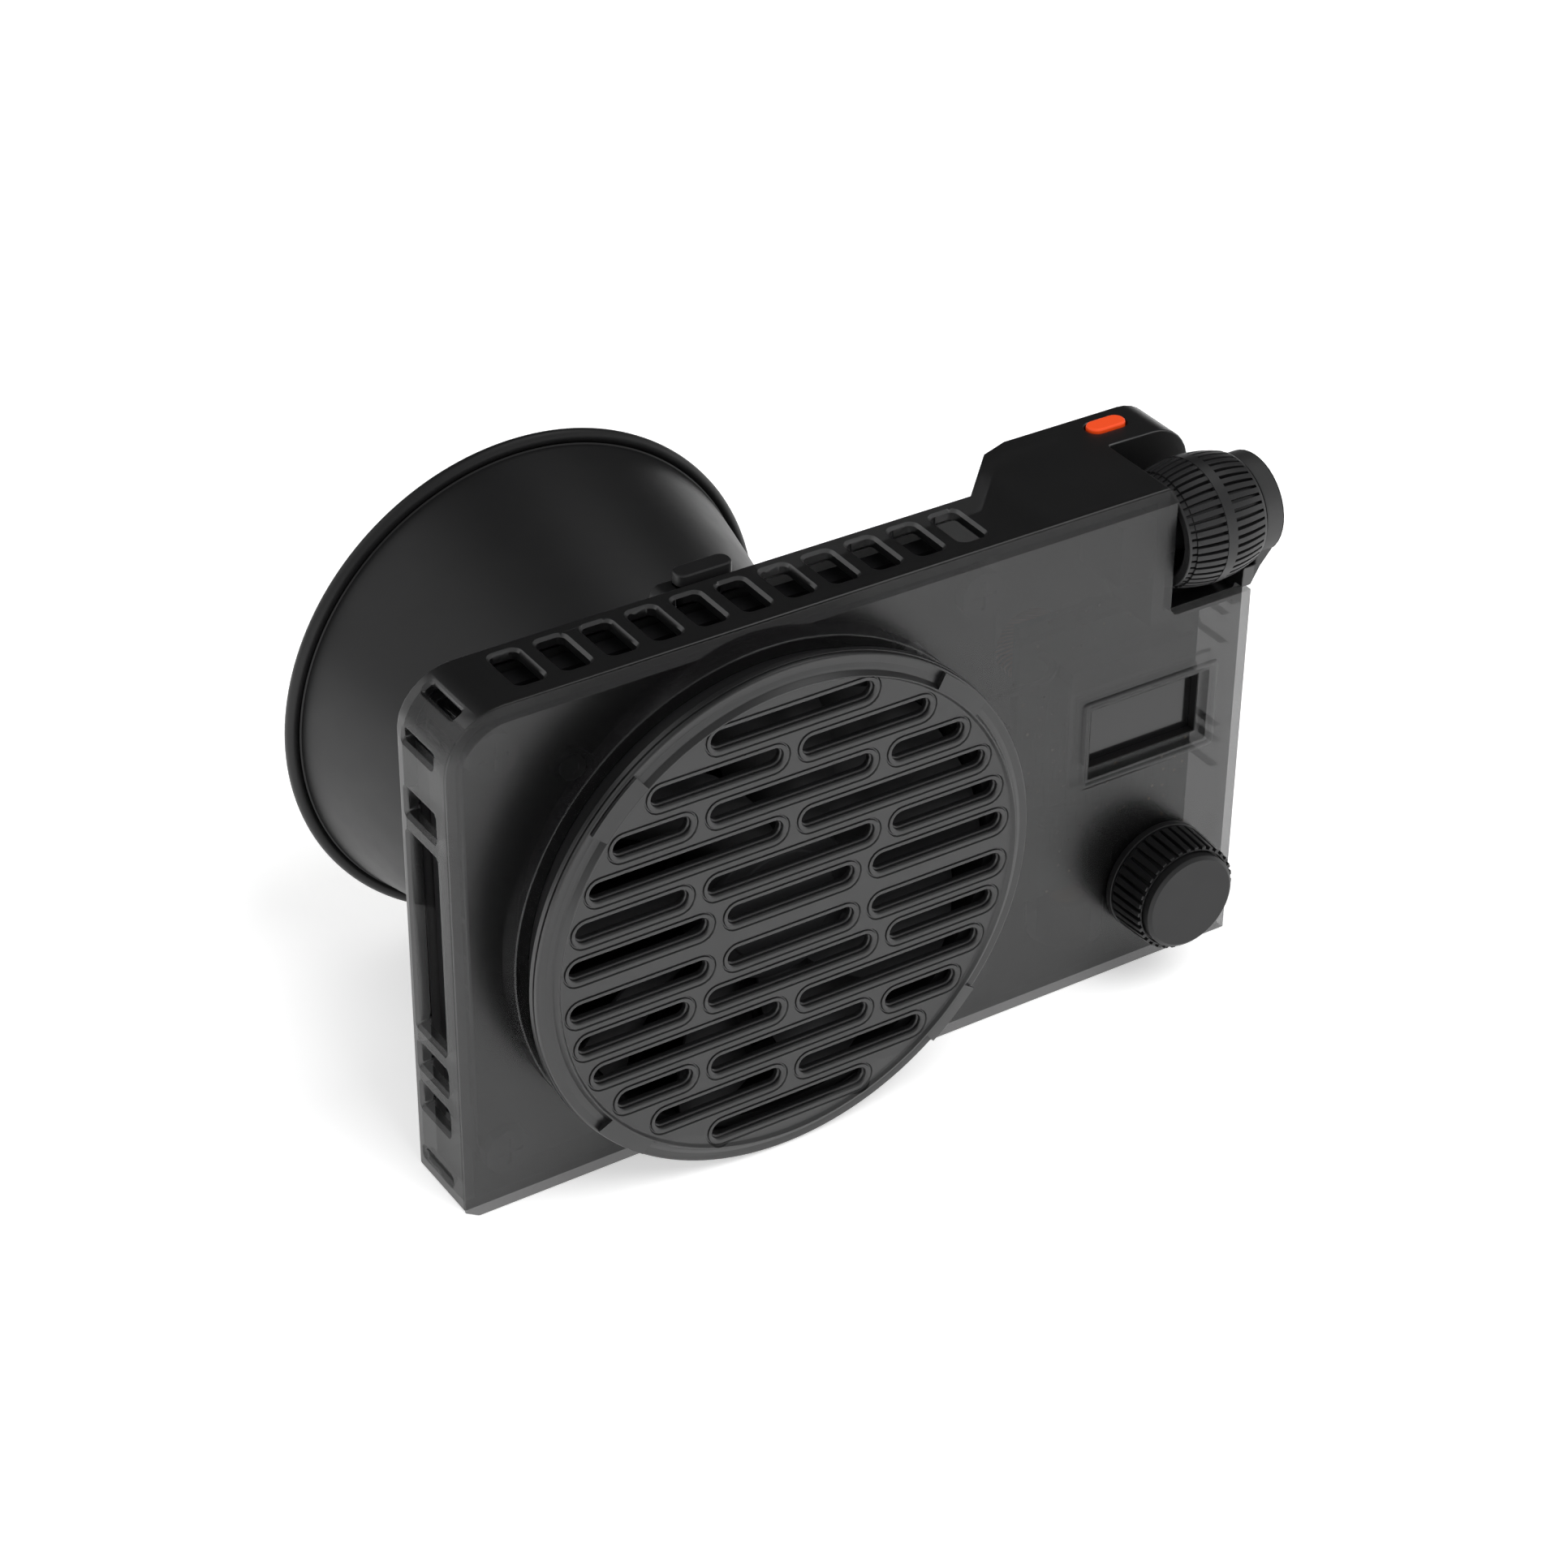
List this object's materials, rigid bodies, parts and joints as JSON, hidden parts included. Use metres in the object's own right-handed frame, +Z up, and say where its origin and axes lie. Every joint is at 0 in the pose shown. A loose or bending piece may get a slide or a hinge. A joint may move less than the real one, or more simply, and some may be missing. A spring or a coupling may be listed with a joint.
{
  "type": "led continuous light",
  "caption": "Hand-held LED light: a flat smoky case with a fan turret, grip, display, knob, thumbwheel and a deep bayonet reflector.",
  "frame": {"origin": "on the bottom face, under the optical axis, at half the depth of the flat case", "axes": "+X to the right as seen from behind, towards the grip; +Y along the light beam; +Z up"},
  "size_m": [0.1539, 0.0859, 0.0928],
  "materials": {
    "smoke_plastic": "smoky translucent, smooth",
    "black_plastic": "fine matt",
    "black_rubber": "matt",
    "lead_cover": "smooth sleeve",
    "black_aluminium": "black anodised",
    "reflector_shell": "satin black outside, bright silver inside",
    "anodised_aluminium": "die cast, black anodised",
    "bright_steel": "nickel plated",
    "dark_steel": "black zinc",
    "brass": "turned",
    "copper_winding": "enamelled copper",
    "capacitor_sleeve": "shrink sleeve",
    "circuit_board": "solder mask",
    "white_board": "white, matt",
    "phosphor": "silicone over phosphor",
    "clear_glass": "clear, polished",
    "dark_glass": "dark grey display glass",
    "orange_plastic": "satin"
  },
  "bodies": {
    "body": {"front_case": "smoke_plastic", "rear_cover": "smoke_plastic", "grille_retainer": "black_plastic", "grille_cap": "smoke_plastic", "fan_frame": "black_plastic", "fan_stator": "copper_winding", "fan_bearing": "brass", "fan_screw_1": "bright_steel", "fan_screw_2": "bright_steel", "fan_screw_3": "bright_steel", "fan_screw_4": "bright_steel", "fan_tray": "dark_steel", "case_screw_1": "dark_steel", "case_screw_2": "dark_steel", "case_screw_3": "dark_steel", "case_screw_4": "dark_steel", "heat_sink": "anodised_aluminium", "cob_board": "white_board", "led_emitter": "phosphor", "led_holder": "white_board", "protective_glass": "clear_glass", "lamp_mount_ring": "black_aluminium", "mount_screw_1": "bright_steel", "mount_screw_2": "bright_steel", "mount_screw_3": "bright_steel", "mount_screw_4": "bright_steel", "latch_spring": "bright_steel", "display_window": "dark_glass", "display_module": "black_plastic", "display_header": "black_plastic", "control_board": "circuit_board", "encoder_body": "dark_steel", "wheel_bush": "brass", "wheel_encoder": "black_plastic", "button_switch": "black_plastic", "button_board": "circuit_board", "driver_board": "circuit_board", "inductor": "copper_winding", "capacitor_1": "capacitor_sleeve", "capacitor_2": "capacitor_sleeve", "transformer": "black_plastic", "usb_socket": "bright_steel", "usb_tongue": "black_plastic", "tripod_insert": "brass", "fan_lead": "lead_cover", "led_lead": "lead_cover"},
    "fan": {"fan_rotor": "black_plastic", "fan_shaft": "bright_steel", "fan_magnet": "dark_steel"},
    "knob_plunger": {"encoder_plunger": "black_plastic"},
    "knob": {"knob_shaft": "bright_steel", "control_knob": "black_plastic", "knob_cap": "black_rubber"},
    "wheel": {"thumbwheel": "black_rubber", "wheel_axle": "bright_steel"},
    "button": {"power_button": "orange_plastic"},
    "latch": {"mount_latch": "black_plastic"},
    "reflector": {"reflector": "reflector_shell"}
  },
  "joints": [
    {"name": "fan_spin", "type": "hinge", "parent": "body", "child": "fan", "pos_m": [0, 0, 0.0458], "axis": [0, 1, 0], "continuous": true},
    {"name": "knob_push", "type": "slide", "parent": "body", "child": "knob_plunger", "axis": [0, 1, 0], "range_m": [0, 0.0005], "stiffness_N_per_m": 2000, "springref_m": -0.0005},
    {"name": "knob_turn", "type": "hinge", "parent": "knob_plunger", "child": "knob", "pos_m": [0.0805, 0, 0.018], "axis": [0, 1, 0], "continuous": true},
    {"name": "wheel_turn", "type": "hinge", "parent": "body", "child": "wheel", "pos_m": [0.09, -0.0022, 0.0812], "axis": [1, 0, 0], "continuous": true},
    {"name": "button_press", "type": "slide", "parent": "body", "child": "button", "axis": [0, 0, -1], "range_m": [0, 0.0006], "stiffness_N_per_m": 2000, "springref_m": -0.0005},
    {"name": "latch_slide", "type": "slide", "parent": "body", "child": "latch", "axis": [-1, 0, 0], "range_m": [0, 0.003], "stiffness_N_per_m": 400, "springref_m": -0.002, "deforming": ["latch_spring"]},
    {"name": "reflector_twist", "type": "hinge", "parent": "body", "child": "reflector", "pos_m": [0, 0, 0.0458], "axis": [0, -1, 0], "range_deg": [0, 30]}
  ]
}
